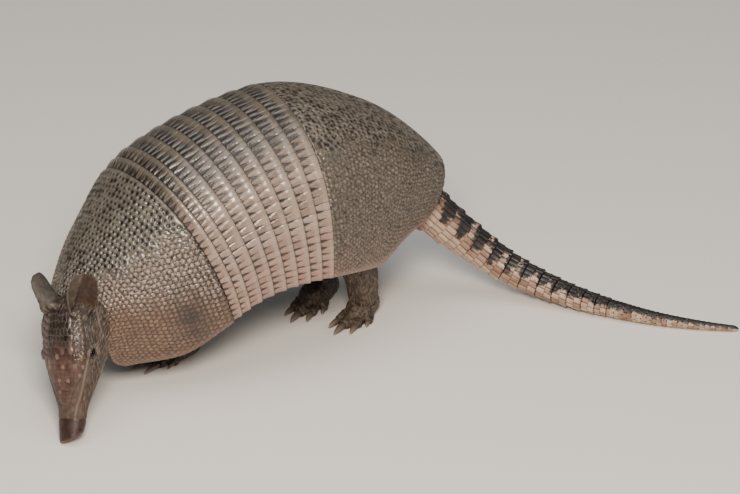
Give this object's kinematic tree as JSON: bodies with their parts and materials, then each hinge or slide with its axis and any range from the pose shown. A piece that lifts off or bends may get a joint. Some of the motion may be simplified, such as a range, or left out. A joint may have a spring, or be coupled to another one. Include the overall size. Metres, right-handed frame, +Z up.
{
  "type": "nine-banded armadillo figure",
  "caption": "Life-size still figure of a nine-banded armadillo nosing the ground: domed armour in two shields with movable-looking bands between them, ringed tail, clawed feet.",
  "frame": {"origin": "on the floor under the middle of the whole figure, seen from above", "axes": "+Z up; the animal heads toward -X, with its left side toward -Y; X is the longest way, from nose to tail tip"},
  "size_m": [0.5217, 0.2659, 0.1941],
  "materials": {
    "shell": "horn-covered bony scutes, satin to glossy",
    "head_plate": "polygonal horn scales, semi-gloss",
    "face_skin": "wrinkled bare skin with small scales",
    "nose": "moist bare skin",
    "eyes": "wet, glossy black",
    "ear_skin": "pebbled bare skin",
    "belly_skin": "soft skin with sparse hairs",
    "leg_skin": "scaly, wrinkled skin",
    "tail_scales": "overlapping horn scales in rings",
    "claws": "worn horn, satin"
  },
  "bodies": {
    "root": {"scapular_shield": "shell", "band_1": "shell", "band_2": "shell", "band_3": "shell", "band_4": "shell", "band_5": "shell", "band_6": "shell", "band_7": "shell", "band_8": "shell", "band_9": "shell", "pelvic_shield": "shell", "head": "face_skin", "head_shield": "head_plate", "nose_pad": "nose", "eye_left": "eyes", "eye_right": "eyes", "ear_left": "ear_skin", "ear_right": "ear_skin", "neck": "belly_skin", "trunk": "belly_skin", "tail_ring_1": "tail_scales", "tail_ring_2": "tail_scales", "tail_ring_3": "tail_scales", "tail_ring_4": "tail_scales", "tail_ring_5": "tail_scales", "tail_ring_6": "tail_scales", "tail_ring_7": "tail_scales", "tail_ring_8": "tail_scales", "tail_ring_9": "tail_scales", "tail_ring_10": "tail_scales", "tail_ring_11": "tail_scales", "tail_ring_12": "tail_scales", "tail_tip": "tail_scales", "foreleg_left": "leg_skin", "forefoot_left": "leg_skin", "fore_claw_left_1": "claws", "fore_claw_left_2": "claws", "fore_claw_left_3": "claws", "fore_claw_left_4": "claws", "hindleg_left": "leg_skin", "hindfoot_left": "leg_skin", "hind_claw_left_1": "claws", "hind_claw_left_2": "claws", "hind_claw_left_3": "claws", "hind_claw_left_4": "claws", "hind_claw_left_5": "claws", "foreleg_right": "leg_skin", "forefoot_right": "leg_skin", "fore_claw_right_1": "claws", "fore_claw_right_2": "claws", "fore_claw_right_3": "claws", "fore_claw_right_4": "claws", "hindleg_right": "leg_skin", "hindfoot_right": "leg_skin", "hind_claw_right_1": "claws", "hind_claw_right_2": "claws", "hind_claw_right_3": "claws", "hind_claw_right_4": "claws", "hind_claw_right_5": "claws"}
  },
  "joints": []
}
